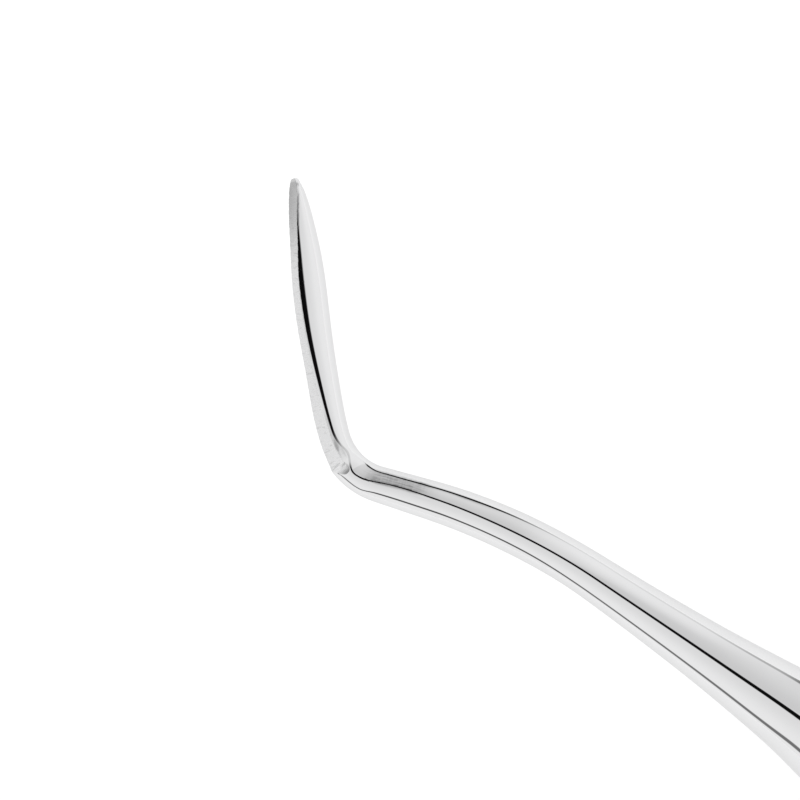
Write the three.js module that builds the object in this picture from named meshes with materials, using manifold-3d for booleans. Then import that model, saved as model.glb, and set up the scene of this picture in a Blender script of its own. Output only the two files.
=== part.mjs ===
// A dental root elevator: a polished steel working end with a gouge-shaped blade on a bent neck,
// pinned by its tang into a hollow octagonal handle that is closed by a screwed butt cap.
//
// Millimetres, +Z up. The instrument lies on one flat of its handle. +X runs along the handle
// towards the blade, and the blade leans to -Y. The origin is the middle of the flat it lies on.
import * as THREE from "three";
import { mergeVertices } from "three/addons/utils/BufferGeometryUtils.js";
import Module from "manifold-3d";

// Handle stations, measured along its axis from the butt.
const capLength = 8;
const shellStart = 8.8;
const shellEnd = 96;
const ferruleStart = 96.8;
const handleLength = 100;

// Handle sections.
const acrossFlats = 12.4;
const palmRadius = 6.55; // the turned blank, which rounds the octagon's corners
const noseRadius = 5;
const flatsStart = 16;
const flatsEnd = 74;
const buttFaceRadius = 3.4;
const gripGrooves = { first: 78.4, pitch: 3.6, count: 5, width: 1.3, depth: 0.28 };

// Inner pieces. A press or screw fit has this much room on the radius.
const fitGap = 0.05;
const tangRadius = 2.6;
const tangLength = 26;
const socketRadius = 4;
const socketLength = 23;
const shellBoreRadius = 4.5;
const studRadius = 2.5;
const studLength = 12;
const plugLength = 14;
const pinRadius = 1;
const pinStation = 87.4; // between the third and fourth grip grooves
const gasketInset = 0.35;

// Working end, measured along its centreline from the shoulder that meets the ferrule.
const shoulderRadius = 4.3;
const shoulderLength = 1.2;
const neckRuns = [
  { length: 24, turn: 0 },
  { length: 14.84, turn: 17 },
  { length: 4.12, turn: 0 },
  { length: 5.55, turn: -60 },
  { length: 20.65, turn: -11.8 },
]; // straight lengths and arcs, each turning by that many degrees towards +Y
const tip = neckRuns.reduce((sum, run) => sum + run.length, 0);
const barRadius = 1.45; // of the neck where the forging starts
const forgeStart = 42.7;
const rootEnd = 49; // the root, behind the bend, needs closer sections
const noseLength = 2.1;
const noseSquare = 2.7; // 2 is a half-round nose, more is squarer

// The forged section at stations along the neck: how far it reaches to the back and to the
// front of the centreline, half its width, and where its widest line lies.
const backReach = [
  [42.7, 1.45],
  [45.7, 1.37],
  [49, 1.31],
  [52.4, 1.36],
  [57, 1.45],
  [60.2, 1.48],
  [62, 1.41],
  [64, 1.2],
  [66, 0.86],
  [67.5, 0.5],
  [tip, -0.26],
];
const frontReach = [
  [42.7, 1.45],
  [45.5, 1.38],
  [48, 1.38],
  [52, 1.7],
  [56, 2.15],
  [60, 2.3],
  [tip, 2.3],
];
const halfWidths = [
  [42.7, 1.45],
  [44.3, 1.29],
  [45.4, 1.16],
  [46, 1.25],
  [47, 1.66],
  [48.1, 1.92],
  [51, 2],
  [58, 2],
  [62, 1.97],
  [66, 1.86],
  [tip, 1.7],
];
const widestLine = [
  [42.7, 0],
  [44.7, 0.1],
  [47.2, 0],
  [49.7, 0.05],
  [53.2, 0.2],
  [57.1, 0.38],
  [60, 0.42],
  [64, 0.31],
  [tip, 0.36],
];
const squareness = 0.04; // how much the sides of the blade are flattened

// The ground face: the degrees it turns up towards +Z, and its distance from the widest line.
const faceStart = 45.3;
const faceTilt = [
  [45.3, 76],
  [45.8, 67],
  [46.1, 53],
  [46.4, 36],
  [46.7, 27],
  [47.1, 22],
  [48.7, 17.6],
  [51.7, 13.2],
  [55.7, 10.2],
  [61, 9.3],
  [64.7, 10.7],
  [tip, 12],
];
const faceDistance = [
  [45.3, 1.13],
  [45.8, 1.12],
  [46.1, 1.06],
  [46.4, 0.9],
  [47.1, 0.78],
  [50.2, 0.83],
  [53.2, 0.7],
  [56.7, 0.6],
  [61, 0.59],
  [64, 0.545],
  [67.5, 0.37],
  [tip, 0.24],
];
const faceRunOut = 0.35; // the face leaves the bar over this length
const hollowDepth = 0.3; // of the concave face

const roundSides = 40;
const neckSides = 32;

const wasm = await Module();
wasm.setup();

function solidOf(geometry) {
  const plain = geometry.clone();
  plain.deleteAttribute("normal");
  plain.deleteAttribute("uv");
  const merged = mergeVertices(plain, 1e-4);
  const vertProperties = new Float32Array(merged.attributes.position.array);
  const triVerts = new Uint32Array(merged.index.array);
  return new wasm.Manifold(new wasm.Mesh({ numProp: 3, vertProperties, triVerts }));
}

function geometryOf(solid) {
  const mesh = solid.getMesh();
  const geometry = new THREE.BufferGeometry();
  geometry.setAttribute("position", new THREE.BufferAttribute(mesh.vertProperties, 3));
  geometry.setIndex(new THREE.BufferAttribute(mesh.triVerts, 1));
  geometry.computeVertexNormals();
  return geometry;
}

// Turns a profile of [station, radius] points about the X axis. A solid's profile starts and
// ends on the axis, and a ring's comes back to its first point.
function turned(profile, sides = roundSides) {
  const points = profile.map(([station, radius]) => new THREE.Vector2(radius, station));
  return new THREE.LatheGeometry(points, sides).rotateZ(-Math.PI / 2);
}

function ring(start, end, innerRadius, outerRadius, round = 0) {
  return turned([
    [start, innerRadius],
    [start, outerRadius - round],
    [start + round, outerRadius],
    [end - round, outerRadius],
    [end, outerRadius - round],
    [end, innerRadius],
    [start, innerRadius],
  ]);
}

// A smooth curve through [station, value] points, sampled at even steps between its ends.
function smoothProfile(points, steps) {
  const curve = new THREE.SplineCurve(points.map((p) => new THREE.Vector2(...p)));
  return curve.getPoints(steps).map((p) => [p.x, p.y]);
}

// 0 before start, 1 after end, and a smooth rise between them.
function rise(at, start, end) {
  return THREE.MathUtils.smoothstep(at, start, end);
}

function mix(from, to, share) {
  return THREE.MathUtils.lerp(from, to, share);
}

function crossPin(radius, length) {
  const pin = new THREE.CylinderGeometry(radius, radius, length, 24).rotateX(Math.PI / 2);
  return pin.translate(pinStation, 0, 0);
}

// The neck's centreline in the handle's own plane: where it is, and which way is outward.
function neckFrame(distance) {
  let heading = 0;
  const at = new THREE.Vector2(handleLength, 0);
  let left = distance;
  for (const run of neckRuns) {
    const isLast = run === neckRuns.at(-1);
    const step = isLast ? left : Math.min(left, run.length);
    const turn = THREE.MathUtils.degToRad(run.turn) * (step / run.length);
    const chord = turn === 0 ? step : (2 * step * Math.sin(turn / 2)) / turn;
    at.x += chord * Math.cos(heading + turn / 2);
    at.y += chord * Math.sin(heading + turn / 2);
    heading += turn;
    left -= step;
    if (left === 0) break;
  }
  const outward = new THREE.Vector2(-Math.sin(heading), Math.cos(heading));
  return { at, outward };
}

// Bends a straight shape: its X is the distance along the neck, its Y the outward side.
function bendAlongNeck(geometry) {
  const position = geometry.attributes.position;
  for (let i = 0; i < position.count; i++) {
    const { at, outward } = neckFrame(position.getX(i));
    const side = position.getY(i);
    position.setX(i, at.x + outward.x * side);
    position.setY(i, at.y + outward.y * side);
  }
  return geometry;
}

// Reads a profile of [station, value] points, passing smoothly from one to the next.
function readProfile(points, at) {
  const last = points.length - 1;
  if (at <= points[0][0]) return points[0][1];
  if (at >= points[last][0]) return points[last][1];
  const i = points.findIndex((point) => point[0] > at) - 1;
  const slopeAt = (k) => {
    const [x0, y0] = points[Math.max(0, k - 1)];
    const [x1, y1] = points[Math.min(last, k + 1)];
    return (y1 - y0) / (x1 - x0);
  };
  const [start, from] = points[i];
  const [end, to] = points[i + 1];
  const t = (at - start) / (end - start);
  const swell = t * (1 - t) * (end - start);
  const plain = mix(from, to, t * t * (3 - 2 * t));
  return plain + swell * ((1 - t) * slopeAt(i) - t * slopeAt(i + 1));
}

// Half the blade's width at a station, with its rounded nose.
function halfWidth(at) {
  const nose = Math.max(0, (at - (tip - noseLength)) / noseLength);
  return readProfile(halfWidths, at) * Math.max(0, 1 - nose ** noseSquare) ** (1 / noseSquare);
}

// Forges the round bar into the blade's section: wider, flatter-sided and set outwards.
function forgeBlade(geometry) {
  const position = geometry.attributes.position;
  for (let i = 0; i < position.count; i++) {
    const at = position.getX(i);
    if (at <= forgeStart) continue;
    const outwardUnit = position.getY(i) / barRadius;
    const upUnit = position.getZ(i) / barRadius;
    const middle = readProfile(widestLine, at);
    const front = readProfile(frontReach, at) - middle;
    const back = readProfile(backReach, at) + middle;
    const square = squareness * rise(at, 45.5, 47.5);
    const flattened = (upUnit + square * (3 * upUnit - 4 * upUnit ** 3)) / (1 - square);
    position.setY(i, middle + (outwardUnit > 0 ? front : back) * outwardUnit);
    position.setZ(i, halfWidth(at) * flattened);
  }
  return geometry;
}

// Height of the ground face outside the centreline, at a place along and across the blade.
function faceHeight(at, across) {
  const tilt = THREE.MathUtils.degToRad(readProfile(faceTilt, at));
  const runOut = THREE.MathUtils.clamp(1 - (at - faceStart) / faceRunOut, 0, 1);
  const distance = readProfile(faceDistance, at) + 0.25 * (1 - Math.sqrt(1 - runOut * runOut));
  const hollow = hollowDepth * rise(at, 47, 56) * rise(tip - at, 0, 4);
  const edge = Math.min(1, Math.abs(across) / 2);
  const flat = (distance - Math.sin(tilt) * across) / Math.cos(tilt);
  const height = readProfile(widestLine, at) + flat - hollow * (1 - edge * edge);
  return THREE.MathUtils.clamp(height, -1.6, 4.5);
}

// What the grinding wheel takes away: a block bent along the blade whose inner side is the face.
function wheelCut() {
  const length = tip + 2 - faceStart;
  const block = new THREE.BoxGeometry(1, 1, 6, 48, 1, 12).translate(0.5, 0, 0);
  const position = block.attributes.position;
  for (let i = 0; i < position.count; i++) {
    const isFace = position.getY(i) < 0;
    const at = faceStart + length * position.getX(i) ** 1.7;
    position.setX(i, at);
    position.setY(i, isFace ? faceHeight(at, position.getZ(i)) : 5);
  }
  return bendAlongNeck(block);
}

function bladeShank() {
  const neck = smoothProfile(
    [
      [shoulderLength + 0.5, 4.12],
      [4.7, 3.52],
      [8.7, 2.98],
      [12.7, 2.58],
      [16.7, 2.26],
      [20.7, 2.01],
      [25.7, 1.82],
      [30.7, 1.74],
      [38.7, 1.57],
      [forgeStart, barRadius],
    ],
    30,
  );
  const blade = [];
  for (let at = forgeStart + 0.45; at < rootEnd; at += 0.45) blade.push([at, barRadius]);
  const bladeSteps = 24;
  for (let i = 0; i < bladeSteps; i++) {
    const share = Math.sin((i / bladeSteps) * (Math.PI / 2));
    blade.push([mix(rootEnd, tip, share), barRadius]);
  }
  const blank = turned(
    [
      [-tangLength, 0],
      [-tangLength, tangRadius - 0.5],
      [-tangLength + 0.5, tangRadius],
      [0, tangRadius],
      [0, shoulderRadius - 0.2],
      [0.2, shoulderRadius],
      [shoulderLength - 0.2, shoulderRadius],
      [shoulderLength, shoulderRadius - 0.2],
      ...neck,
      ...blade,
      [tip, 0],
    ],
    neckSides,
  );
  const bar = bendAlongNeck(forgeBlade(blank));
  const pinHole = crossPin(pinRadius + fitGap, 12);
  return geometryOf(solidOf(bar).subtract(solidOf(wheelCut())).subtract(solidOf(pinHole)));
}

function ferrule() {
  return ring(ferruleStart, handleLength - 0.03, tangRadius + fitGap, noseRadius + 0.15, 0.35);
}

function frontGasket() {
  const innerRadius = tangRadius + fitGap;
  const outerRadius = noseRadius - gasketInset;
  return ring(shellEnd + 0.03, ferruleStart - 0.03, innerRadius, outerRadius, 0.2);
}

function tangSocket() {
  const start = shellEnd - socketLength;
  const innerRadius = tangRadius + fitGap;
  const sleeve = ring(start, shellEnd - 0.1, innerRadius, socketRadius - fitGap, 0.2);
  return geometryOf(solidOf(sleeve).subtract(solidOf(crossPin(pinRadius + fitGap, 12))));
}

// The shell's turned radius at a station along the grip.
function shellNose(at) {
  const share = rise(at, flatsEnd, shellEnd);
  return mix(palmRadius, noseRadius, share);
}

function handleShell() {
  const outside = [
    [shellStart, 5.3],
    [shellStart + 0.4, 5.75],
    [12, 6.2],
    [flatsStart, palmRadius],
    [flatsEnd, palmRadius],
    [76.6, shellNose(76.6)],
  ];
  for (let i = 0; i < gripGrooves.count; i++) {
    const middle = gripGrooves.first + i * gripGrooves.pitch;
    const start = middle - gripGrooves.width / 2;
    const end = middle + gripGrooves.width / 2;
    outside.push([start, shellNose(start)]);
    outside.push([middle - 0.25, shellNose(middle) - gripGrooves.depth]);
    outside.push([middle + 0.25, shellNose(middle) - gripGrooves.depth]);
    outside.push([end, shellNose(end)]);
  }
  outside.push([shellEnd - 0.4, noseRadius]);
  outside.push([shellEnd, noseRadius - 0.4]);
  const blank = turned([[shellStart, 0], ...outside, [shellEnd, 0]]);
  // Eight flats: a cylinder with eight sides, turned so that one of them faces down.
  const cornerRadius = acrossFlats / 2 / Math.cos(Math.PI / 8);
  const octagon = new THREE.CylinderGeometry(cornerRadius, cornerRadius, 120, 8);
  octagon.rotateY(Math.PI / 8).rotateZ(-Math.PI / 2).translate(55, 0, 0);
  const bore = turned([
    [0, 0],
    [0, shellBoreRadius],
    [shellEnd - socketLength - 0.1, shellBoreRadius],
    [shellEnd - socketLength - 0.1, socketRadius],
    [110, socketRadius],
    [110, 0],
  ]);
  return geometryOf(
    solidOf(blank)
      .intersect(solidOf(octagon))
      .subtract(solidOf(bore))
      .subtract(solidOf(crossPin(pinRadius + fitGap, 16))),
  );
}

function tangPin() {
  const half = shellNose(pinStation) - 0.12;
  const bevel = 0.2;
  const pin = turned(
    [
      [-half, 0],
      [-half, pinRadius - bevel],
      [-half + bevel, pinRadius],
      [half - bevel, pinRadius],
      [half, pinRadius - bevel],
      [half, 0],
    ],
    24,
  );
  return pin.rotateY(Math.PI / 2).translate(pinStation, 0, 0);
}

function endPlug() {
  const start = shellStart + 1.2;
  const end = start + plugLength;
  return ring(start, end, studRadius + fitGap, shellBoreRadius - fitGap, 0.4);
}

function endGasket() {
  return ring(capLength + 0.03, shellStart - 0.03, studRadius + fitGap, 5.05, 0.2);
}

function endCap() {
  const dome = smoothProfile(
    [
      [0, buttFaceRadius],
      [0.5, 4.5],
      [1.8, 5.45],
      [3.6, 5.9],
      [5.6, 5.98],
      [capLength - 0.35, 5.7],
    ],
    10,
  );
  return turned([
    [0, 0],
    ...dome,
    [capLength, 5.35],
    [capLength, studRadius],
    [capLength + studLength - 0.5, studRadius],
    [capLength + studLength, studRadius - 0.5],
    [capLength + studLength, 0],
  ]);
}

const mirrorSteel = new THREE.MeshStandardMaterial({
  color: 0xdadbdc,
  roughness: 0.08,
  metalness: 1,
});
const satinSteel = new THREE.MeshStandardMaterial({
  color: 0xc4c6c8,
  roughness: 0.38,
  metalness: 1,
});
const turnedSteel = new THREE.MeshStandardMaterial({
  color: 0xb4b6b8,
  roughness: 0.5,
  metalness: 1,
});
const blackSilicone = new THREE.MeshStandardMaterial({
  color: 0x1b1c1e,
  roughness: 0.7,
  metalness: 0,
});

function piece(name, geometry, material) {
  const mesh = new THREE.Mesh(geometry, material);
  mesh.name = name;
  return mesh;
}

const instrument = new THREE.Group();
instrument.add(
  piece("blade_shank", bladeShank(), mirrorSteel),
  piece("ferrule", ferrule(), mirrorSteel),
  piece("front_gasket", frontGasket(), blackSilicone),
  piece("tang_socket", tangSocket(), turnedSteel),
  piece("tang_pin", tangPin(), mirrorSteel),
  piece("handle_shell", handleShell(), satinSteel),
  piece("end_plug", endPlug(), turnedSteel),
  piece("end_gasket", endGasket(), blackSilicone),
  piece("end_cap", endCap(), mirrorSteel),
);

// Down on its flat, with the middle of that flat at the origin.
const flatsMiddle = (flatsStart + flatsEnd) / 2;
instrument.position.set(-flatsMiddle, 0, acrossFlats / 2);

const elevator = new THREE.Group();
elevator.add(instrument);

export default elevator;
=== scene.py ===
import math
import bpy
import numpy as np
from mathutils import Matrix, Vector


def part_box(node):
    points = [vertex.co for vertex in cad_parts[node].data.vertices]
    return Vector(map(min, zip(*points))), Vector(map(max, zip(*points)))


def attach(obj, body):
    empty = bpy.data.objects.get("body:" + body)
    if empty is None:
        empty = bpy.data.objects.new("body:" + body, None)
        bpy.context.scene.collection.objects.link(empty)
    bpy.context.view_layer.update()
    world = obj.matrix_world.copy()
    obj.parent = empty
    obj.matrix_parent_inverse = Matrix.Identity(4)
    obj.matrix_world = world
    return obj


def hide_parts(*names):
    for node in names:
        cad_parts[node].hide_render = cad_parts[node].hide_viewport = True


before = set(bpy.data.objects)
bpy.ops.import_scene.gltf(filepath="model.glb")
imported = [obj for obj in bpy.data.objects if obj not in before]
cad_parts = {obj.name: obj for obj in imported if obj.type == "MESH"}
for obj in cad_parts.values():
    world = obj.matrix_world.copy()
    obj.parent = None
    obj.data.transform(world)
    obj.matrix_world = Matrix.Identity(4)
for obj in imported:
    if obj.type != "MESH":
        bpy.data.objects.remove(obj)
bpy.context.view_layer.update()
mm = 0.001
onAxis = 0.001  # radius in mm where a turned piece closes on its axis
print("frame loaded:", ", ".join(sorted(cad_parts)))

# The handle's axis lies half the handle's height above the floor, along X.
shellLow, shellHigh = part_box("handle_shell")
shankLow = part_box("blade_shank")[0]
axisHeight = (shellLow.z + shellHigh.z) / 2
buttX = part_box("end_cap")[0].x

# How the instrument lies for the camera, in degrees and mm; viewRight and viewUp are that
# view's axes on the table.
look = {"turn": 213.9, "aimX": 99.9, "aimY": -3.1, "distance": 620, "field": 63.5, "sensor": 36}
turn = math.radians(look["turn"])
viewRight = (math.cos(turn), math.sin(turn), 0)
viewUp = (-math.sin(turn), math.cos(turn), 0)


def smooth(at, start, end):
    share = np.clip((at - start) / (end - start), 0, 1)
    return share * share * (3 - 2 * share)


def between(at, stations):
    # rises over the first two stations and falls over the last two
    return smooth(at, *stations[:2]) * (1 - smooth(at, *stations[2:]))


def mix(low, high, share):
    return low + (high - low) * share


def splineThrough(points, at):
    # natural cubic spline, so that reflections run over it without a kink
    x, y = np.array(points, float).T
    gap = np.diff(x)
    rise = np.diff(y) / gap
    size = len(x)
    left = np.eye(size)
    right = np.zeros(size)
    for i in range(1, size - 1):
        left[i, i - 1 : i + 2] = gap[i - 1], 2 * (gap[i - 1] + gap[i]), gap[i]
        right[i] = 6 * (rise[i] - rise[i - 1])
    bend = np.linalg.solve(left, right)
    k = np.clip(np.searchsorted(x, at) - 1, 0, size - 2)
    h = gap[k]
    low = (x[k + 1] - at) / h
    high = (at - x[k]) / h
    lowTerm = (low**3 - low) * bend[k]
    highTerm = (high**3 - high) * bend[k + 1]
    return low * y[k] + high * y[k + 1] + (lowTerm + highTerm) * h * h / 6


def roundCorners(corners, steps=6):
    # corners are (station, radius, rounding); each corner becomes a small arc
    outline = []
    count = len(corners)
    for i, (x, r, rounding) in enumerate(corners):
        here = np.array([x, r], float)
        if rounding == 0 or i in (0, count - 1):
            outline.append(here)
            continue
        before = np.array(corners[i - 1][:2], float) - here
        after = np.array(corners[i + 1][:2], float) - here
        before /= np.linalg.norm(before)
        after /= np.linalg.norm(after)
        for k in range(steps + 1):
            t = k / steps
            outline.append(here + rounding * ((1 - t) ** 2 * before + t * t * after))
    return outline


def meshFromRings(name, rings, closedLoop=False):
    # rings is (count, around, 3) in metres; the ends are capped, or joined to each other
    count, around = rings.shape[:2]
    points = rings.reshape(-1, 3)
    index = np.arange(count * around).reshape(count, around)
    nextRing = np.roll(index, -1, 0) if closedLoop else index[1:]
    thisRing = index if closedLoop else index[:-1]
    a, b = thisRing, np.roll(thisRing, -1, 1)
    d, c = nextRing, np.roll(nextRing, -1, 1)
    faces = np.stack([a, b, c, d], -1).reshape(-1, 4).tolist()
    extra = []
    if not closedLoop:
        extra = [rings[0].mean(0), rings[-1].mean(0)]
        first, last = count * around, count * around + 1
        for k in range(around):
            n = (k + 1) % around
            faces.append([index[0, n], index[0, k], first])
            faces.append([index[-1, k], index[-1, n], last])
    mesh = bpy.data.meshes.new(name)
    mesh.from_pydata([*points.tolist(), *[e.tolist() for e in extra]], [], faces)
    mesh.validate()
    mesh.shade_smooth()
    piece = bpy.data.objects.new(name, mesh)
    bpy.context.scene.collection.objects.link(piece)
    return piece


def turnedPiece(name, outline, around=128, isRing=False):
    # outline is [(station, radius)] in mm from the butt, turned about the handle's axis
    stations = np.array([p[0] for p in outline]) * mm + buttX
    radii = np.array([p[1] for p in outline]) * mm
    angle = np.linspace(0, 2 * np.pi, around, endpoint=False)
    rings = np.empty((len(outline), around, 3))
    rings[..., 0] = stations[:, None]
    rings[..., 1] = radii[:, None] * np.cos(angle)
    rings[..., 2] = axisHeight + radii[:, None] * np.sin(angle)
    return meshFromRings(name, rings, closedLoop=isRing)


def flipIfInsideOut(piece):
    mesh = piece.data
    volume = 0.0
    for face in mesh.polygons:
        corners = [mesh.vertices[v].co for v in face.vertices]
        for k in range(1, len(corners) - 1):
            volume += corners[0].dot(corners[k].cross(corners[k + 1]))
    if volume < 0:
        mesh.flip_normals()


def fitPiece(piece, node, material):
    flipIfInsideOut(piece)
    piece.data.materials.clear()
    piece.data.materials.append(material)
    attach(piece, "root")
    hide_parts(node)


def wire(tree, value, socket):
    if isinstance(value, bpy.types.NodeSocket):
        tree.links.new(value, socket)
    elif value is not None:
        socket.default_value = value


def mathNode(tree, operation, a, b=None, c=None):
    node = tree.nodes.new("ShaderNodeMath")
    node.operation = operation
    for value, socket in zip((a, b, c), node.inputs):
        wire(tree, value, socket)
    return node.outputs[0]


def rangeNode(tree, value, fromLow, fromHigh, toLow=0.0, toHigh=1.0):
    node = tree.nodes.new("ShaderNodeMapRange")
    node.interpolation_type = "SMOOTHSTEP"
    sockets = ("Value", "From Min", "From Max", "To Min", "To Max")
    for key, item in zip(sockets, (value, fromLow, fromHigh, toLow, toHigh)):
        wire(tree, item, node.inputs[key])
    return node.outputs[0]


def dotNode(tree, vector, direction):
    node = tree.nodes.new("ShaderNodeVectorMath")
    node.operation = "DOT_PRODUCT"
    wire(tree, vector, node.inputs[0])
    node.inputs[1].default_value = direction
    return node.outputs["Value"]


def stretchNode(tree, vector, scale, turnBy=0.0):
    node = tree.nodes.new("ShaderNodeMapping")
    wire(tree, vector, node.inputs["Vector"])
    node.inputs["Rotation"].default_value = (0, 0, turnBy)
    node.inputs["Scale"].default_value = scale
    return node.outputs[0]


def noiseNode(tree, vector, scale, detail=3.0, roughness=0.5):
    node = tree.nodes.new("ShaderNodeTexNoise")
    wire(tree, vector, node.inputs["Vector"])
    wire(tree, scale, node.inputs["Scale"])
    node.inputs["Detail"].default_value = detail
    node.inputs["Roughness"].default_value = roughness
    return node.outputs["Fac"]


def newGroup(name, inputs, outputs):
    group = bpy.data.node_groups.new(name, "ShaderNodeTree")
    for label, kind, default in inputs:
        socket = group.interface.new_socket(label, in_out="INPUT", socket_type=kind)
        if default is not None:
            socket.default_value = default
    for label, kind in outputs:
        group.interface.new_socket(label, in_out="OUTPUT", socket_type=kind)
    start = group.nodes.new("NodeGroupInput")
    end = group.nodes.new("NodeGroupOutput")
    return group, start.outputs, end.inputs


def placeGroup(tree, group, **values):
    node = tree.nodes.new("ShaderNodeGroup")
    node.node_tree = group
    for label, value in values.items():
        wire(tree, value, node.inputs[label])
    return node.outputs


numberSocket, vectorSocket = "NodeSocketFloat", "NodeSocketVector"


def buildHazeGroup():
    # cloudy difference in polish, with finer specks of handling on top
    group, given, out = newGroup(
        "polishHaze",
        [
            ("Place", vectorSocket, None),
            ("Base", numberSocket, 0.06),
            ("Spread", numberSocket, 0.03),
        ],
        [("Roughness", numberSocket), ("Tone", numberSocket)],
    )
    cloud = noiseNode(group, given["Place"], 260.0, 3.0)
    speck = noiseNode(group, given["Place"], 2600.0, 2.0)
    both = mathNode(group, "MULTIPLY_ADD", speck, 0.35, cloud)
    spread = mathNode(group, "SUBTRACT", both, 0.62)
    rough = mathNode(group, "MULTIPLY_ADD", spread, given["Spread"], given["Base"])
    wire(group, mathNode(group, "MAXIMUM", rough, 0.02), out["Roughness"])
    wire(group, both, out["Tone"])
    return group


def buildScratchGroup():
    # long hairlines in two directions: only the crests of a stretched noise show
    group, given, out = newGroup(
        "hairlines",
        [("Place", vectorSocket, None), ("Density", numberSocket, 1.0)],
        [("Height", numberSocket)],
    )
    total = None
    for turnBy, scale in ((0.35, (30, 1400, 1400)), (-0.9, (60, 1900, 1900))):
        lines = stretchNode(group, given["Place"], scale, turnBy)
        noise = noiseNode(group, lines, given["Density"], 2.0, 0.6)
        crest = rangeNode(group, noise, 0.63, 0.72)
        total = crest if total is None else mathNode(group, "MAXIMUM", total, crest)
    wire(group, mathNode(group, "MULTIPLY", total, -1.0), out["Height"])
    return group


def buildGrindGroup():
    # close-set marks left by a wheel, running at a slant over the ground surface
    group, given, out = newGroup(
        "grindMarks",
        [("Along", vectorSocket, None), ("Scale", numberSocket, 1.0)],
        [("Height", numberSocket), ("Tone", numberSocket)],
    )
    fine = stretchNode(group, given["Along"], (6.0, 0.7, 1.0), math.radians(20))
    coarse = stretchNode(group, given["Along"], (2.2, 0.3, 1.0), math.radians(-14))
    fineNoise = noiseNode(group, fine, given["Scale"], 4.0, 0.65)
    coarseNoise = noiseNode(group, coarse, given["Scale"], 3.0, 0.6)
    both = mathNode(group, "MULTIPLY_ADD", coarseNoise, 0.8, fineNoise)
    wire(group, both, out["Height"])
    wire(group, rangeNode(group, both, 0.55, 1.25), out["Tone"])
    return group


haze = buildHazeGroup()
hairlines = buildScratchGroup()
grind = buildGrindGroup()
print("shader groups ready")


def newMaterial(name, colour, metallic, roughness):
    material = bpy.data.materials.new(name)
    material.use_nodes = True
    tree = material.node_tree
    surface = tree.nodes["Principled BSDF"]
    surface.inputs["Base Color"].default_value = (*colour, 1)
    surface.inputs["Metallic"].default_value = metallic
    surface.inputs["Roughness"].default_value = roughness
    if metallic:
        # seen at a glancing angle, steel is a little duller than a perfect mirror
        surface.inputs["Specular Tint"].default_value = (0.88, 0.88, 0.88, 1)
    place = tree.nodes.new("ShaderNodeTexCoord").outputs["Object"]
    return material, tree, surface, place


def bumpInto(tree, surface, height, distance):
    bump = tree.nodes.new("ShaderNodeBump")
    bump.inputs["Distance"].default_value = distance
    bump.inputs["Strength"].default_value = 1.0
    wire(tree, height, bump.inputs["Height"])
    wire(tree, bump.outputs[0], surface.inputs["Normal"])


def tintBetween(tree, share, low, high):
    node = tree.nodes.new("ShaderNodeMix")
    node.data_type = "RGBA"
    wire(tree, share, node.inputs["Factor"])
    for value, socket in ((low, node.inputs["A"]), (high, node.inputs["B"])):
        wire(tree, (*value, 1) if isinstance(value, tuple) else value, socket)
    return node.outputs["Result"]


mirrorLook = {
    "colour": (0.74, 0.74, 0.745),
    "dark": (0.725, 0.725, 0.73),
    "light": (0.755, 0.755, 0.76),
    "roughness": 0.05,
    "spread": 0.05,
    "scratchDepth": 0.0000004,
}


def mirrorSteel():
    m = mirrorLook
    material, tree, surface, place = newMaterial("mirrorSteel", m["colour"], 1, m["roughness"])
    polish = placeGroup(tree, haze, Place=place, Base=m["roughness"], Spread=m["spread"])
    lines = placeGroup(tree, hairlines, Place=place, Density=1.0)
    wire(tree, polish["Roughness"], surface.inputs["Roughness"])
    tone = tintBetween(tree, polish["Tone"], m["dark"], m["light"])
    wire(tree, tone, surface.inputs["Base Color"])
    bumpInto(tree, surface, lines["Height"], m["scratchDepth"])
    return material


forgedLook = {
    "roughness": 0.026,
    "spread": 0.03,
    "faceRoughness": 0.2,
    "faceSpread": 0.14,
    "faceColour": (0.7, 0.7, 0.705),
    # two distances from the shoulder, and the value at each
    # the next three are painted light: painted shade over the wheel's run-out and towards the tip,
    # and a painted highlight at the very end
    "runOut": (45.42, 46.0, 0.3, 1.0),
    "paintedTipShade": (61.0, 69.0, 1.0, 0.42),
    "paintedEndHighlight": (68.78, 68.95, 1.0, 1.7),
    "tipRoughness": (67.0, 68.4, 0.0, 0.25),
    "wheelTone": (0.0, 0.42, 0.72, 1.0),  # two depths of the wheel's marks, and the tone at each
    # near black, for the filing marks and for the painted dark reflections and painted shade
    "filedAndPaintedDarkColour": (0.12, 0.12, 0.122),
    "filedRoughness": 0.02,
    "faceDepth": 5.0,
    "crossDepth": 9.0,
    "scratchDepth": 0.1,
    "depth": 0.000001,
}


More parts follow.
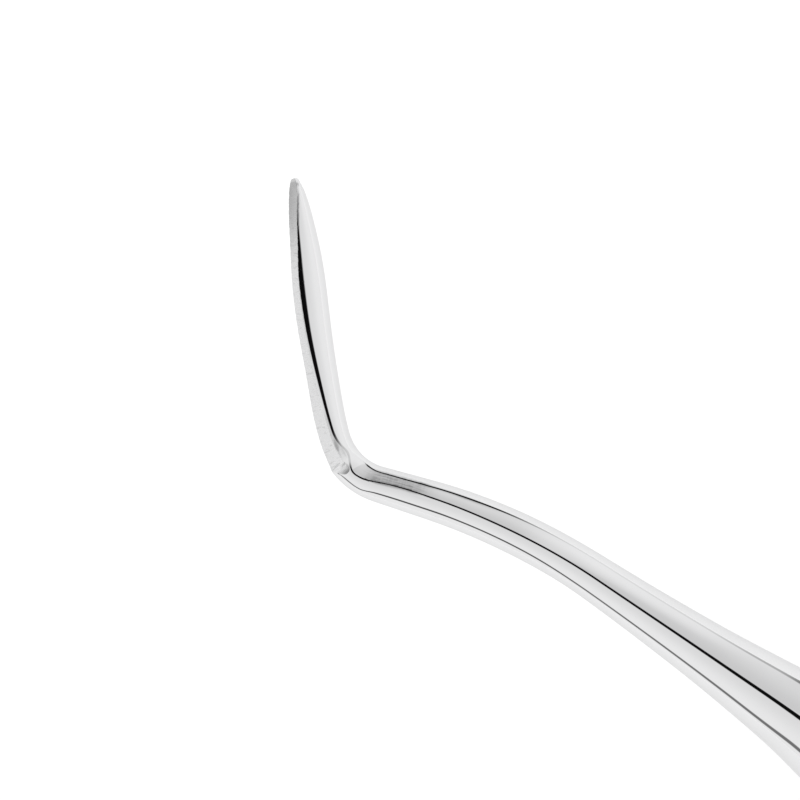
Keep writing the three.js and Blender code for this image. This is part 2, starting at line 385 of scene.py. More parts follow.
def forgedSteel():
    # the working end: mirror polish, a ground face, and cross marks left behind the bend
    m, polished = forgedLook, mirrorLook
    colour, roughness = polished["colour"], polished["roughness"]
    material, tree, surface, place = newMaterial("forgedSteel", colour, 1, roughness)

    def mask(name):
        node = tree.nodes.new("ShaderNodeAttribute")
        node.attribute_name = name
        return node.outputs["Fac"]

    def times(a, b):
        return mathNode(tree, "MULTIPLY", a, b)

    onFace, onMarks, filingAndPaintedDarkMask = mask("groundFace"), mask("crossMarks"), mask("filingAndPaintedDark")
    uv = tree.nodes.new("ShaderNodeUVMap")
    uv.uv_map = "alongAndAround"
    along = uv.outputs[0]
    split = tree.nodes.new("ShaderNodeSeparateXYZ")
    wire(tree, along, split.inputs[0])
    station = split.outputs["X"]
    polish = placeGroup(tree, haze, Place=place, Base=m["roughness"], Spread=m["spread"])
    lines = placeGroup(tree, hairlines, Place=place, Density=1.0)
    wheel = placeGroup(tree, grind, Along=along, Scale=1.0)

    # rougher on the ground face, on the cross marks and at the tip
    faceRough = mathNode(tree, "MULTIPLY_ADD", wheel["Tone"], m["faceSpread"], m["faceRoughness"])
    step = times(mathNode(tree, "SUBTRACT", faceRough, polish["Roughness"]), onFace)
    rough = mathNode(tree, "ADD", polish["Roughness"], step)
    rough = mathNode(tree, "ADD", rough, times(onMarks, m["filedRoughness"]))
    worn = rangeNode(tree, station, *m["tipRoughness"])
    offFace = mathNode(tree, "SUBTRACT", 1.0, onFace)
    wire(tree, mathNode(tree, "MULTIPLY_ADD", worn, offFace, rough), surface.inputs["Roughness"])

    # painted shade darkens the face over the wheel's run-out, where it turns up, and towards the
    # tip; the wheel's marks vary its tone
    paintedShadeAndWheelMarks = times(rangeNode(tree, station, *m["runOut"]), rangeNode(tree, station, *m["paintedTipShade"]))
    paintedShadeAndWheelMarks = times(paintedShadeAndWheelMarks, rangeNode(tree, wheel["Tone"], *m["wheelTone"]))
    # painted highlight: the very end of the face is lightened
    paintedShadeAndWheelMarks = times(paintedShadeAndWheelMarks, rangeNode(tree, station, *m["paintedEndHighlight"]))
    ground = tintBetween(tree, paintedShadeAndWheelMarks, (0.0, 0.0, 0.0), m["faceColour"])

    # dark streaks where it was filed, together with painted dark reflections along the top and
    # painted shade beside the ground face
    streaks = noiseNode(tree, stretchNode(tree, along, (0.7, 5.0, 1.0)), 1.0, 3.0, 0.6)
    filedAndPaintedDark = times(rangeNode(tree, streaks, 0.25, 0.65, 1.0, 0.45), filingAndPaintedDarkMask)
    filedAndPaintedDark = times(filedAndPaintedDark, rangeNode(tree, wheel["Tone"], 0.3, 0.7, 0.87, 1.08))
    bright = tintBetween(tree, polish["Tone"], polished["dark"], polished["light"])
    plain = tintBetween(tree, filedAndPaintedDark, bright, m["filedAndPaintedDarkColour"])
    wire(tree, tintBetween(tree, onFace, plain, ground), surface.inputs["Base Color"])

    height = times(lines["Height"], m["scratchDepth"])
    for where, depth in ((onFace, m["faceDepth"]), (onMarks, m["crossDepth"])):
        height = mathNode(tree, "MULTIPLY_ADD", times(wheel["Height"], where), depth, height)
    bumpInto(tree, surface, height, m["depth"])
    return material


satinLook = {
    "colour": (0.6, 0.61, 0.62),
    "dark": (0.57, 0.58, 0.59),
    "light": (0.63, 0.64, 0.65),
    "roughness": 0.36,
    "spread": 0.1,
    "beadScale": 5200.0,
    "beadDepth": 0.000012,
}
turnedLook = {
    "colour": (0.52, 0.53, 0.54),
    "dark": (0.45, 0.46, 0.47),
    "light": (0.58, 0.59, 0.6),
    "roughness": 0.4,
    "spread": 0.15,
    "grooveScale": (9000, 4, 4),
    "grooveDepth": 0.000008,
}
siliconeLook = {
    "colour": (0.02, 0.02, 0.022),
    "dark": (0.014, 0.014, 0.015),
    "light": (0.034, 0.034, 0.036),
    "roughness": 0.55,
    "spread": 0.2,
    "grainDepth": 0.00001,
}


def plainMaterial(name, m, metallic):
    material, tree, surface, place = newMaterial(name, m["colour"], metallic, m["roughness"])
    polish = placeGroup(tree, haze, Place=place, Base=m["roughness"], Spread=m["spread"])
    wire(tree, polish["Roughness"], surface.inputs["Roughness"])
    return material, tree, surface, place, polish["Tone"]


def satinSteel():
    m = satinLook
    material, tree, surface, place, cloud = plainMaterial("satinSteel", m, 1)
    wire(tree, tintBetween(tree, cloud, m["dark"], m["light"]), surface.inputs["Base Color"])
    beads = noiseNode(tree, place, m["beadScale"], 2.0, 0.6)
    bumpInto(tree, surface, beads, m["beadDepth"])
    return material


def turnedSteel():
    m = turnedLook
    material, tree, surface, place, _ = plainMaterial("turnedSteel", m, 1)
    rings = noiseNode(tree, stretchNode(tree, place, m["grooveScale"]), 1.0, 3.0, 0.6)
    wire(tree, tintBetween(tree, rings, m["dark"], m["light"]), surface.inputs["Base Color"])
    bumpInto(tree, surface, rings, m["grooveDepth"])
    return material


def silicone():
    m = siliconeLook
    material, tree, surface, place, cloud = plainMaterial("silicone", m, 0)
    wire(tree, tintBetween(tree, cloud, m["dark"], m["light"]), surface.inputs["Base Color"])
    bumpInto(tree, surface, cloud, m["grainDepth"])
    return material


neckSizes = (
    (1.2, 4.22), (1.7, 4.12), (4.7, 3.52), (8.7, 2.98), (12.7, 2.56), (16.7, 2.25), (20.7, 2.01),
    (25.7, 1.81), (30.7, 1.74), (34.7, 1.67), (38.7, 1.57), (42.7, 1.45),
)  # distance from the shoulder, radius
forging = {
    "tangLength": 26,
    "tangRadius": 2.6,
    "tangRounding": 0.45,
    "tangRootRounding": 0.05,
    "shoulderRadius": 4.3,
    "shoulderLength": 1.2,
    "shoulderRounding": (0.18, 0.12),
    "flareRadius": 4.2,
    # straight and bent runs from the shoulder to the tip: length, turn in degrees
    "runs": ((24, 0), (14.84, 17), (4.12, 0), (5.55, -60), (20.65, -11.8)),
    # from the shoulder on: how far the skin reaches to the back, the front and each side
    "back": (
        *neckSizes, (45.7, 1.37), (47.4, 1.35), (49, 1.31), (52.4, 1.36), (57, 1.45),
        (60.2, 1.48), (62, 1.41), (64, 1.2), (66, 0.86), (67.5, 0.5), (68.5, 0.12), (69.2, -0.26),
    ),
    "front": (
        *neckSizes, (45.5, 1.38), (48, 1.38), (52, 1.7), (56, 2.15), (60, 2.3), (69.2, 2.3),
    ),
    "side": (
        *neckSizes, (43.4, 1.39), (44.3, 1.29), (45, 1.19), (45.5, 1.16), (46, 1.25),
        (46.5, 1.44), (47, 1.66), (47.5, 1.82), (48.1, 1.92), (49, 1.97), (51, 2.0), (58, 2.0),
        (62, 1.97), (66, 1.86), (69.2, 1.7),
    ),
    # the line along the top of the section, off the middle of the bar
    "ridge": (
        (1.2, 0), (26, 0), (33, -0.05), (37, -0.16), (41, -0.21), (43, -0.09), (44.7, 0.1),
        (45.7, 0.08), (47.2, 0), (49.7, 0.05), (53.2, 0.2), (57.1, 0.38), (60, 0.42), (62, 0.38),
        (64, 0.31), (66, 0.32), (69.2, 0.36),
    ),
    "leanSoftness": 0.25,  # how gently the skin turns from back to front
    "squareness": 0.04,
    "squareFrom": (45.5, 47.5),
    # the ground face: where it starts, its tilt in degrees and its distance from the middle
    "faceStart": 45.3,
    "faceTilt": (
        (45.3, 76), (45.8, 67), (46.1, 53), (46.4, 36), (46.7, 27), (47.1, 22), (48.7, 17.6),
        (51.7, 13.2), (55.7, 10.2), (58.5, 9.5), (61, 9.3), (64.7, 10.7), (69.2, 12),
    ),
    "faceDistance": (
        (45.3, 1.13), (45.8, 1.12), (46.1, 1.06), (46.4, 0.9), (46.7, 0.82), (47.1, 0.78),
        (48.7, 0.81), (50.2, 0.83), (53.2, 0.7), (56.7, 0.6), (61, 0.59), (64, 0.545), (66, 0.49),
        (67.5, 0.37), (69.2, 0.24),
    ),
    "runOut": 0.35,
    "runOutLift": 0.25,
    "hollow": 0.3,
    "hollowFrom": (47, 56),
    "hollowEnds": 4,
    "chatter": 0.008,
    "chatterWaves": ((7.3, 1.0, 0), (17.1, 0.7, 1), (11.9, 0.5, 2)),  # pitch, share, phase
    "noseLength": 2.1,
    "noseSquare": 2.7,  # 2 is a half-round nose, more is squarer
    "rimRounding": 0.07,
    "endRounding": 0.14,
    "around": 160,
    "steps": {"neck": 0.3, "tongue": 0.045, "blade": 0.15, "tip": 70},
}
tipAt = sum(run[0] for run in forging["runs"])


def neckFrames(at):
    # point on the centreline and outward direction, for distances from the shoulder
    at = np.asarray(at, float)
    x = np.where(at < 0, at, 0.0)
    y = np.zeros_like(at)
    heading = np.zeros_like(at)
    start = 0.0
    for i, (length, degrees) in enumerate(forging["runs"]):
        top = length if i < len(forging["runs"]) - 1 else 1e9
        step = np.clip(at - start, 0, top)
        bend = math.radians(degrees) * step / length
        small = np.abs(bend) < 1e-9
        half = np.where(small, 1.0, bend / 2)
        chord = step * np.where(small, 1.0, np.sin(half) / half)
        x += chord * np.cos(heading + bend / 2)
        y += chord * np.sin(heading + bend / 2)
        heading += bend
        start += length
    return x, y, -np.sin(heading), np.cos(heading)


def sizeAt(name, at):
    points = forging[name]
    return float(splineThrough(points, np.array([np.clip(at, points[0][0], points[-1][0])]))[0])


def sectionAt(at, angle):
    # outward and upward position of the skin at one station, before the points are spread
    f = forging
    ridge = sizeAt("ridge", at)
    front = sizeAt("front", at) - ridge
    back = sizeAt("back", at) + ridge
    nose = np.clip((at - (tipAt - f["noseLength"])) / f["noseLength"], 0, 1)
    side = sizeAt("side", at) * (1 - nose ** f["noseSquare"]) ** (1 / f["noseSquare"])
    across = np.cos(angle)
    soft = f["leanSoftness"]
    lean = (np.sqrt(across**2 + soft**2) - soft) / (math.sqrt(1 + soft**2) - soft)
    out = ridge + (front + back) / 2 * across + (front - back) / 2 * lean
    square = f["squareness"] * smooth(at, *f["squareFrom"])
    up = side * (np.sin(angle) + square * np.sin(3 * angle)) / (1 - square)
    onFace = np.zeros_like(angle)
    gap = np.full_like(angle, -9.0)  # far from the face
    if at > f["faceStart"] - 0.4:
        ground = faceAt(at, up, ridge)
        gap = out - ground
        out = (out + ground - np.sqrt(gap**2 + f["rimRounding"] ** 2)) / 2
        onFace = smooth(gap, 0.0, 0.05)
    if at > tipAt - f["endRounding"]:
        # the very end is rounded off in thickness too
        t = (at - (tipAt - f["endRounding"])) / f["endRounding"]
        middle = (out.max() + out.min()) / 2
        out = middle + (out - middle) * math.sqrt(max(0.0, 1 - 0.98 * t * t))
    return out, up, np.array([onFace, *marksAndPaintedDarkAt(at, angle, gap)])


def faceAt(at, up, ridge):
    # the ground face, outward of the middle, for each height across the blade
    f = forging
    tilt = math.radians(sizeAt("faceTilt", at))
    left = np.clip(1 - (at - f["faceStart"]) / f["runOut"], 0, 1)
    lift = f["runOutLift"] * (1 - np.sqrt(1 - left * left)) + 3 * max(0.0, f["faceStart"] - at)
    chatter = sum(share * math.sin(at * pitch + phase) for pitch, share, phase in f["chatterWaves"])
    distance = sizeAt("faceDistance", at) + lift + f["chatter"] * chatter
    hollow = f["hollow"] * smooth(at, *f["hollowFrom"]) * smooth(tipAt - at, 0, f["hollowEnds"])
    edge = np.clip(np.abs(up) / 2, 0, 1)
    return ridge + (distance - math.sin(tilt) * up) / math.cos(tilt) - hollow * (1 - edge**2)


filingAndPaintedDark = {
    # each patch rises over its first two stations and falls over its last two
    # the cross patch holds filing marks; its darkness is partly their colour, partly painted dark
    # reflection
    "cross": (38, 41, 43, 45),
    "crossEdge": (-0.06, 0.1),
    "crossTone": 0.74,
    # rim and farRim: painted dark reflections along the top, on the lines of the slit and the far
    # gap
    "rim": (39.2, 40.4, 42.8, 43.8),
    "rimTone": 1.1,
    "farRim": (33, 36, 39.5, 41),
    "farRimAt": 0.61,
    "farRimTone": 0.9,
    "rimHalf": 0.07,
    # painted shade beside the start of the ground face
    "besideStart": (46.2, 46.8, 49.8, 50.8),
    "startWidth": (0.7, 0.25),
    "startTaper": (47, 49),
    "startTone": 0.32,
    # painted dark reflection beside the ground face near the tip
    "besideTip": (63.5, 65, 67.2, 68.4),
    "tipWidth": 0.17,
    "tipTone": 1.4,
    "top": (0.62, 0.78),
}


def marksAndPaintedDarkAt(at, angle, gap):
    # cross marks left behind the bend, and how dark it is there and along the edges: partly the
    # filing's own colour, partly painted dark reflection and painted shade
    m = filingAndPaintedDark
    behind = -np.cos(angle)
    onTop = smooth(np.sin(angle), *m["top"])

    def line(middle):
        return onTop * np.exp(-(((behind - middle) / m["rimHalf"]) ** 2))

    def beside(width):
        return smooth(gap, -width - 0.05, -width + 0.05) * onTop * (1 - smooth(gap, -0.02, 0.02))

    cross = onTop * smooth(behind, *m["crossEdge"]) * between(at, m["cross"])
    # the cross marks darken: partly their own colour, partly painted dark reflection
    tone = m["crossTone"] * cross
    # painted dark reflections along the slit's line and the far gap's line
    tone = tone + m["rimTone"] * line(0) * between(at, m["rim"])
    tone = tone + m["farRimTone"] * line(m["farRimAt"]) * between(at, m["farRim"])
    width = mix(*m["startWidth"], smooth(at, *m["startTaper"]))
    # painted shade beside the start of the ground face
    tone = tone + m["startTone"] * beside(width) * between(at, m["besideStart"])
    # painted dark reflection beside the ground face near the tip
    tone = tone + m["tipTone"] * beside(m["tipWidth"]) * between(at, m["besideTip"])
    return cross, tone


def resampled(out, up, masks, angle, count):
    # points spread along the outline, closer together where it turns sharply
    closedOut = np.append(out, out[0])
    closedUp = np.append(up, up[0])
    dOut, dUp = np.diff(closedOut), np.diff(closedUp)
    length = np.hypot(dOut, dUp)
    direction = np.arctan2(dUp, dOut)
    turning = np.abs((np.diff(np.append(direction, direction[0])) + np.pi) % (2 * np.pi) - np.pi)
    turning = (turning + np.roll(turning, 1)) / 2
    size = length.sum() / (2 * np.pi)
    weight = length + 0.5 * size * turning + 1e-9
    run = np.concatenate([[0], np.cumsum(weight)])
    target = np.linspace(0, run[-1], count, endpoint=False)
    closedAngle = np.append(angle, angle[0] + 2 * np.pi)
    closedMasks = np.append(masks, masks[:, :1], 1)
    return [np.interp(target, run, v) for v in (closedOut, closedUp, closedAngle, *closedMasks)]


def stationsOfForging():
    f = forging
    shoulder = f["shoulderLength"]
    steps = f["steps"]
    neck = np.arange(shoulder + 0.15, f["faceStart"] - 0.5, steps["neck"])
    tongue = np.arange(f["faceStart"] - 0.45, f["faceStart"] + 2.2, steps["tongue"])
    blade = np.arange(f["faceStart"] + 2.25, tipAt - 2.4, steps["blade"])
    tipShare = np.sin(np.linspace(0, np.pi / 2, steps["tip"]))
    tip = tipAt - 2.3 + 2.3 * tipShare
    return np.concatenate([neck, tongue, blade, tip])


def buildBladeShank():
    f = forging
    angle = np.linspace(-np.pi, np.pi, 1600, endpoint=False)
    rows, masks, along = [], [], []
    collar = roundCorners(
        [
            (-f["tangLength"], onAxis, 0),
            (-f["tangLength"], f["tangRadius"], f["tangRounding"]),
            (0, f["tangRadius"], f["tangRootRounding"]),
            (0, f["shoulderRadius"], f["shoulderRounding"][0]),
            (f["shoulderLength"], f["shoulderRadius"], f["shoulderRounding"][1]),
            (f["shoulderLength"] + 0.1, f["flareRadius"], 0),
        ]
    )
    for at, radius in collar:
        unmarked = np.zeros((3, len(angle)))
        rows.append((at, radius * np.cos(angle), radius * np.sin(angle), unmarked))
    for at in stationsOfForging():
        rows.append((at, *sectionAt(at, angle)))
    count = f["around"]
    rings = np.empty((len(rows), count, 3))
    for i, (at, out, up, fields) in enumerate(rows):
        out, up, around, *fields = resampled(out, up, fields, angle, count)
        x, y, outX, outY = neckFrames(at)
        shoulderX = shankLow.x / mm + f["tangLength"]
        rings[i, :, 0] = shoulderX + x + outX * out
        rings[i, :, 1] = y + outY * out
        rings[i, :, 2] = axisHeight / mm + up
        masks.append(fields)
        along.append(np.stack([np.full(count, at), around * 1.5], -1))
    piece = meshFromRings("bladeShank", rings * mm)
    mesh = piece.data
    labels = ("groundFace", "crossMarks", "filingAndPaintedDark")
    for label, values in zip(labels, np.array(masks).swapaxes(0, 1)):
        flat = np.concatenate([values.ravel(), [0.0, values[-1].mean()]])
        layer = mesh.attributes.new(label, "FLOAT", "POINT")
        layer.data.foreach_set("value", flat.astype(np.float32))
    flatAlong = np.concatenate([np.concatenate(along), [along[0][0], along[-1][0]]])
    corners = np.empty(len(mesh.loops), dtype=np.int32)
    mesh.loops.foreach_get("vertex_index", corners)
    layer = mesh.uv_layers.new(name="alongAndAround")
    layer.data.foreach_set("uv", flatAlong[corners].astype(np.float32).ravel())
    return piece


bladeShank = buildBladeShank()
fitPiece(bladeShank, "blade_shank", forgedSteel())
print("forged working end:", len(bladeShank.data.polygons), "faces")


handle = {
    "capLength": 8,
    "shellStart": 8.8,
    "shellEnd": 96,
    "ferruleStart": 96.8,
    "length": 100,
    "acrossFlats": 12.4,
    "palmRadius": 6.55,
    "noseRadius": 5,
    "flatsEnd": 74,
    "tail": ((8.8, 5.55), (10.2, 5.98), (12, 6.26), (14.2, 6.48), (17, 6.55)),
    "edgeRounding": 0.1,
    "endRounding": 0.35,
    "grooves": {"first": 78.4, "pitch": 3.6, "count": 5, "width": 1.3, "depth": 0.28},
    "shellBore": 4.5,
    "socketBore": 4,
    "socketLength": 23,
    "pinAt": 87.4,
    "pinRadius": 1,
    "pinRounding": 0.18,
    "pinGap": 0.05,
    "pinInset": 0.1,
    "around": 256,
}


def noseTaper(at):
    share = smooth(at, handle["flatsEnd"], handle["shellEnd"])
    return mix(handle["palmRadius"], handle["noseRadius"], share)


def shellRadius(at):
    # turned outside: round tail, long palm, taper to the nose and the grip grooves
    h = handle
    tail = np.minimum(splineThrough(h["tail"], at), h["palmRadius"])
    radius = np.where(at < h["tail"][-1][0] - 0.2, tail, noseTaper(at))
    g = h["grooves"]
    for i in range(g["count"]):
        middle = g["first"] + i * g["pitch"]
        share = 1 - np.clip(np.abs(at - middle) / (g["width"] / 2), 0, 1)
        radius = radius - g["depth"] * smooth(share, 0, 0.75)
    r = h["endRounding"]
    start = np.clip((h["shellStart"] + r - at) / r, 0, 1)
    end = np.clip((at - h["shellEnd"] + r) / r, 0, 1)
    return radius - r * (2 - np.sqrt(1 - start**2) - np.sqrt(1 - end**2))


def buildHandleShell():
    h = handle
    eased = h["endRounding"] * (1 - np.cos(np.linspace(0, np.pi / 2, 7)))
    stations = np.concatenate(
        [
            h["shellStart"] + eased,
            np.arange(h["shellStart"] + 0.6, 18, 0.4),
            np.arange(18, 77, 3.0),
            np.arange(77, h["shellEnd"] - 0.4, 0.09),
            h["shellEnd"] - eased[::-1],
        ]
    )
    angle = np.linspace(0, 2 * np.pi, h["around"], endpoint=False)
    flatTurn = (angle + np.pi / 8) % (np.pi / 4) - np.pi / 8
    flatOut = h["acrossFlats"] / 2 / np.cos(flatTurn)
    body = shellRadius(stations)[:, None]
    gap = body - flatOut
    outer = (body + flatOut - np.sqrt(gap**2 + h["edgeRounding"] ** 2)) / 2
    step = h["shellEnd"] - h["socketLength"] - 0.1
    inside = [
        (h["shellEnd"], h["socketBore"]),
        (step, h["socketBore"]),
        (step, h["shellBore"]),
        (h["shellStart"], h["shellBore"]),
    ]
    allStations = np.concatenate([stations, [s for s, _ in inside]])
    inner = np.repeat([[r] for _, r in inside], h["around"], 1)
    radii = np.concatenate([outer, inner])
    rings = np.empty((len(allStations), h["around"], 3))
    rings[..., 0] = (allStations * mm + buttX)[:, None]
    rings[..., 1] = radii * mm * np.cos(angle)
    rings[..., 2] = axisHeight + radii * mm * np.sin(angle)
    return meshFromRings("handleShell", rings, closedLoop=True)


def crossHole(piece, radius):
    # drills through the piece where the cross pin goes
    bpy.ops.mesh.primitive_cylinder_add(
        vertices=64,
        radius=radius * mm,
        depth=20 * mm,
        location=(buttX + handle["pinAt"] * mm, 0, axisHeight),
    )
    drill = bpy.context.object
    cut = piece.modifiers.new("crossHole", "BOOLEAN")
    cut.operation = "DIFFERENCE"
    cut.solver = "EXACT"
    cut.object = drill
    depsgraph = bpy.context.evaluated_depsgraph_get()
    cutMesh = bpy.data.meshes.new_from_object(piece.evaluated_get(depsgraph))
    piece.modifiers.clear()
    piece.data = cutMesh
    bpy.data.objects.remove(drill)


handleShell = buildHandleShell()
flipIfInsideOut(handleShell)
crossHole(handleShell, handle["pinRadius"] + handle["pinGap"])
handleShell.data.set_sharp_from_angle(angle=math.radians(40))
fitPiece(handleShell, "handle_shell", satinSteel())
print("handle shell:", len(handleShell.data.polygons), "faces")

mirror = mirrorSteel()


def buildPin():
    length = noseTaper(np.array([handle["pinAt"]]))[0] - handle["pinInset"]
    r = handle["pinRadius"]
    ends = handle["pinRounding"]
    corners = [(-length, onAxis, 0), (-length, r, ends), (length, r, ends), (length, onAxis, 0)]
    outline = roundCorners(corners)
    angle = np.linspace(0, 2 * np.pi, 64, endpoint=False)
    rings = np.empty((len(outline), 64, 3))
    for i, (at, radius) in enumerate(outline):
        rings[i, :, 0] = buttX / mm + handle["pinAt"] + radius * np.cos(angle)
        rings[i, :, 1] = radius * np.sin(angle)
        rings[i, :, 2] = axisHeight / mm + at
    return meshFromRings("tangPin", rings * mm)


tangPin = buildPin()
fitPiece(tangPin, "tang_pin", mirror)

ferruleSizes = {"bore": 2.65, "radius": 5.15, "rounding": 0.4, "gap": 0.03}


def buildFerrule():
    f = ferruleSizes
    start, end, ends = handle["ferruleStart"], handle["length"] - f["gap"], f["rounding"]
    corners = [
        (start, f["bore"], 0),
        (start, f["radius"], ends),
        (end, f["radius"], ends),
        (end, f["bore"], 0),
    ]
    return turnedPiece("ferruleRing", roundCorners(corners), isRing=True)


ferrule = buildFerrule()
ferrule.data.set_sharp_from_angle(angle=math.radians(50))
fitPiece(ferrule, "ferrule", mirror)


gasket = {
    "gap": 0.03,
    "rounding": 0.24,
    "frontBore": 2.65,
    "frontRadius": 4.65,
    "endBore": 2.55,
    "endRadius": 5.05,
}


def sealRing(name, start, end, bore, radius):
    start, end, ends = start + gasket["gap"], end - gasket["gap"], gasket["rounding"]
    corners = [(start, bore, 0), (start, radius, ends), (end, radius, ends), (end, bore, 0)]
    ring = turnedPiece(name, roundCorners(corners), isRing=True)
    ring.data.set_sharp_from_angle(angle=math.radians(50))
    return ring


rubber = silicone()
front = (handle["shellEnd"], handle["ferruleStart"], gasket["frontBore"], gasket["frontRadius"])
fitPiece(sealRing("frontGasket", *front), "front_gasket", rubber)
rear = (handle["capLength"], handle["shellStart"], gasket["endBore"], gasket["endRadius"])
fitPiece(sealRing("endGasket", *rear), "end_gasket", rubber)

cap = {
    "buttFace": 3.4,
    "stud": 2.5,
    "studLength": 12,
    "skirtRadius": 5.35,
    "studRounding": (0.1, 0.4),
    "dome": ((0, 3.4), (0.5, 4.5), (1.8, 5.45), (3.6, 5.9), (5.6, 5.98), (7.65, 5.7)),
}


def buildEndCap():
    # a domed butt, turned from one bar with its stud
    x, r = np.array(cap["dome"]).T
    run = np.concatenate([[0], np.cumsum(np.hypot(np.diff(x), np.diff(r)))])
    at = np.linspace(0, run[-1], 60)
    domeX = splineThrough(list(zip(run, x)), at)
    domeR = splineThrough(list(zip(run, r)), at)
    dome = [(max(0.0, a), b, 0) for a, b in zip(domeX, domeR)]
    neck = [
        (handle["capLength"], cap["skirtRadius"], 0),
        (handle["capLength"], cap["stud"], cap["studRounding"][0]),
        (handle["capLength"] + cap["studLength"], cap["stud"], cap["studRounding"][1]),
        (handle["capLength"] + cap["studLength"], onAxis, 0),
    ]
    face = [(0, onAxis, 0), (0, cap["buttFace"] - 0.5, 0)]
    piece = turnedPiece("endCap", roundCorners([*face, *dome, *neck]))
    piece.data.set_sharp_from_angle(angle=math.radians(50))
    return piece


fitPiece(buildEndCap(), "end_cap", mirror)

turned = turnedSteel()
for node in ("tang_socket", "end_plug"):
    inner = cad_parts[node]
    inner.data.materials.clear()
    inner.data.materials.append(turned)
print("handle pieces fitted")


studio = {
    "floorRadius": 2.5,
    "floorColour": 0.4,
    "floorGlow": 0.72,
    "tent": 1.07,
    "backdrop": 1.2,
}
# Everything dark or grey in the tent, in degrees. Turns are measured from viewRight, heights from
# the table. Four turns mark where a patch rises and where it falls; the other fours are two turns
# or heights and the two values between which something changes over them.
slit = {
    "turn": 162.0,
    "half": 4.8,
    "fade": (38.0, 66.0),
    "later": (6.0, 18.0),
    "depth": (0.25, 0.995),
}
farGap = {
    "turns": (48, 68, 94, 82),
    "half": 6.4,
    "height": (60, 70, 1.0, 7.0),
    "depth": (58, 68, 0.25, 1.0),
}
nearGap = {
    "turns": (-50, -80, -175, -160),
    "half": 4.6,
    "height": (-124, -111, 9.5, 27.5),
    "rise": (-140, -128, 5.0, 0.0),
    "depth": (-130, -114, 0.8, 0.92),
}
shade = {"top": (25, 82, 1.0, 0.86), "farTurns": (56, 68, 150, 120), "farTone": 0.84}
greyCard = {"turn": -70.0, "height": 66.0, "outer": 17, "inner": 8, "tone": 0.7}


def buildFloor():
    bpy.ops.mesh.primitive_circle_add(
        vertices=128, radius=studio["floorRadius"], fill_type="NGON", location=(0, 0, -0.0001)
    )
    floor = bpy.context.object
    floor.name = "floor"
    material, tree, surface, place = newMaterial("paleFloor", (studio["floorColour"],) * 3, 0, 0.7)
    surface.inputs["Emission Color"].default_value = (1, 1, 1, 1)
    surface.inputs["Emission Strength"].default_value = studio["floorGlow"]
    floor.data.materials.append(material)


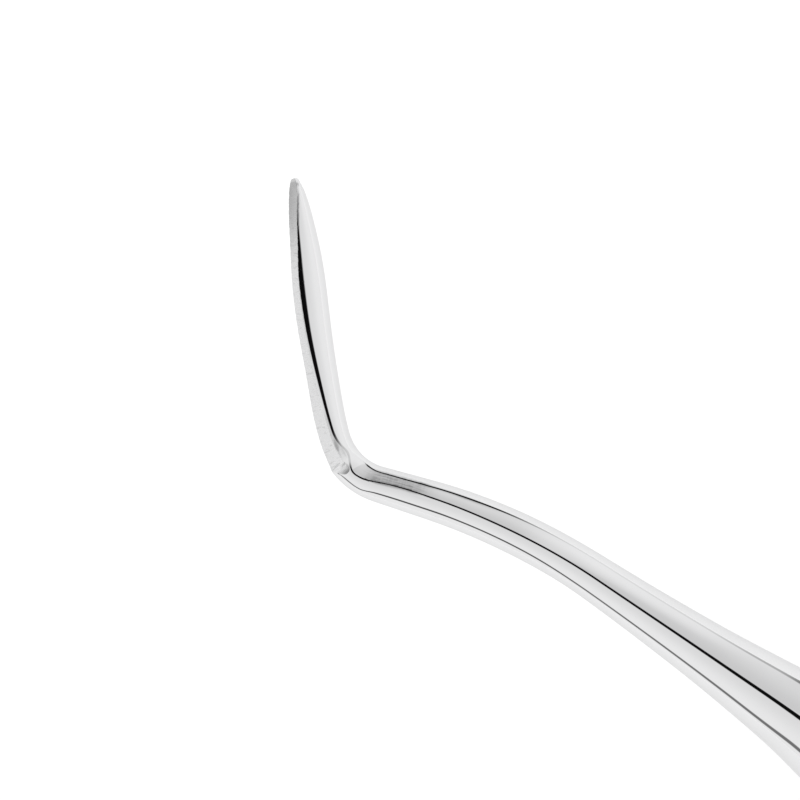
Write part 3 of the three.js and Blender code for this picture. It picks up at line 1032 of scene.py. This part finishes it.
def buildTent():
    # a bright tent all round: grey gaps low on two sides, one slit, and a soft grey card
    world = bpy.data.worlds.new("lightTent")
    bpy.context.scene.world = world
    world.use_nodes = True
    tree = world.node_tree
    tree.nodes.clear()
    toward = tree.nodes.new("ShaderNodeTexCoord").outputs["Generated"]
    right = dotNode(tree, toward, viewRight)
    up = dotNode(tree, toward, viewUp)
    high = dotNode(tree, toward, (0, 0, 1))
    bearing = mathNode(tree, "DEGREES", mathNode(tree, "ARCTAN2", up, right))
    height = mathNode(tree, "DEGREES", mathNode(tree, "ARCSINE", high))
    above = mathNode(tree, "GREATER_THAN", high, 0.0)

    def times(a, b):
        return mathNode(tree, "MULTIPLY", a, b)

    def patch(turns):
        return times(rangeNode(tree, bearing, *turns[:2]), rangeNode(tree, bearing, *turns[2:]))

    def gap(middle, half, strength):
        off = mathNode(tree, "ABSOLUTE", mathNode(tree, "SUBTRACT", height, middle))
        return times(rangeNode(tree, off, half * 1.3, half * 0.6), strength)

    # the slit between the tent's two halves fades overhead, later on the handle's side
    slitTurn = math.radians(slit["turn"] + 90)
    acrossSlit = times(right, math.cos(slitTurn))
    acrossSlit = mathNode(tree, "MULTIPLY_ADD", up, math.sin(slitTurn), acrossSlit)
    half = math.sin(math.radians(slit["half"]))
    offSlit = mathNode(tree, "ABSOLUTE", acrossSlit)
    inSlit = times(rangeNode(tree, offSlit, half * 1.2, half * 0.8), above)
    towardHandle = rangeNode(tree, right, -0.02, 0.02)
    fades = [
        mathNode(tree, "MULTIPLY_ADD", towardHandle, more, start)
        for start, more in zip(slit["fade"], slit["later"])
    ]
    inSlit = times(inSlit, rangeNode(tree, height, *fades, *slit["depth"]))

    farDepth = times(rangeNode(tree, bearing, *farGap["depth"]), patch(farGap["turns"]))
    inFarGap = gap(rangeNode(tree, bearing, *farGap["height"]), farGap["half"], farDepth)
    nearDepth = times(rangeNode(tree, bearing, *nearGap["depth"]), patch(nearGap["turns"]))
    nearHeight = rangeNode(tree, bearing, *nearGap["height"])
    nearHeight = mathNode(tree, "ADD", nearHeight, rangeNode(tree, bearing, *nearGap["rise"]))
    inNearGap = gap(nearHeight, nearGap["half"], nearDepth)
    dark = mathNode(tree, "MAXIMUM", mathNode(tree, "MAXIMUM", inFarGap, inNearGap), inSlit)

    # each half is a little greyer high up, and the far one more so
    inFarHalf = times(patch(shade["farTurns"]), above)
    farShade = rangeNode(tree, inFarHalf, 0.0, 1.0, 1.0, shade["farTone"])
    cardTurn, cardHeight = math.radians(greyCard["turn"]), math.radians(greyCard["height"])
    aside = np.array(viewRight) * math.cos(cardTurn) + np.array(viewUp) * math.sin(cardTurn)
    middle = (*(aside[:2] * math.cos(cardHeight)), math.sin(cardHeight))
    edges = [math.cos(math.radians(greyCard[edge])) for edge in ("outer", "inner")]
    card = rangeNode(tree, dotNode(tree, toward, middle), *edges, 1.0, greyCard["tone"])
    shading = times(rangeNode(tree, height, *shade["top"]), times(farShade, card))
    level = times(shading, studio["tent"])
    level = times(level, mathNode(tree, "SUBTRACT", 1.0, dark))

    ray = tree.nodes.new("ShaderNodeLightPath").outputs["Is Camera Ray"]
    seen = tree.nodes.new("ShaderNodeMix")
    seen.data_type = "FLOAT"
    wire(tree, ray, seen.inputs["Factor"])
    wire(tree, level, seen.inputs["A"])
    seen.inputs["B"].default_value = studio["backdrop"]
    background = tree.nodes.new("ShaderNodeBackground")
    background.inputs["Color"].default_value = (1, 1, 1, 1)
    wire(tree, seen.outputs[0], background.inputs["Strength"])
    output = tree.nodes.new("ShaderNodeOutputWorld")
    wire(tree, background.outputs[0], output.inputs["Surface"])


buildFloor()
buildTent()

cameraData = bpy.data.cameras.new("camera")
cameraData.sensor_width = look["sensor"]
cameraData.lens = look["sensor"] * (look["distance"] - axisHeight / mm) / look["field"]
cameraData.clip_end = 20
camera = bpy.data.objects.new("camera", cameraData)
camera.location = (look["aimX"] * mm, look["aimY"] * mm, look["distance"] * mm)
camera.rotation_euler = (0, 0, turn)
bpy.context.scene.collection.objects.link(camera)
bpy.context.scene.camera = camera
bpy.context.scene.view_settings.view_transform = "Standard"
print("floor, light and camera set")
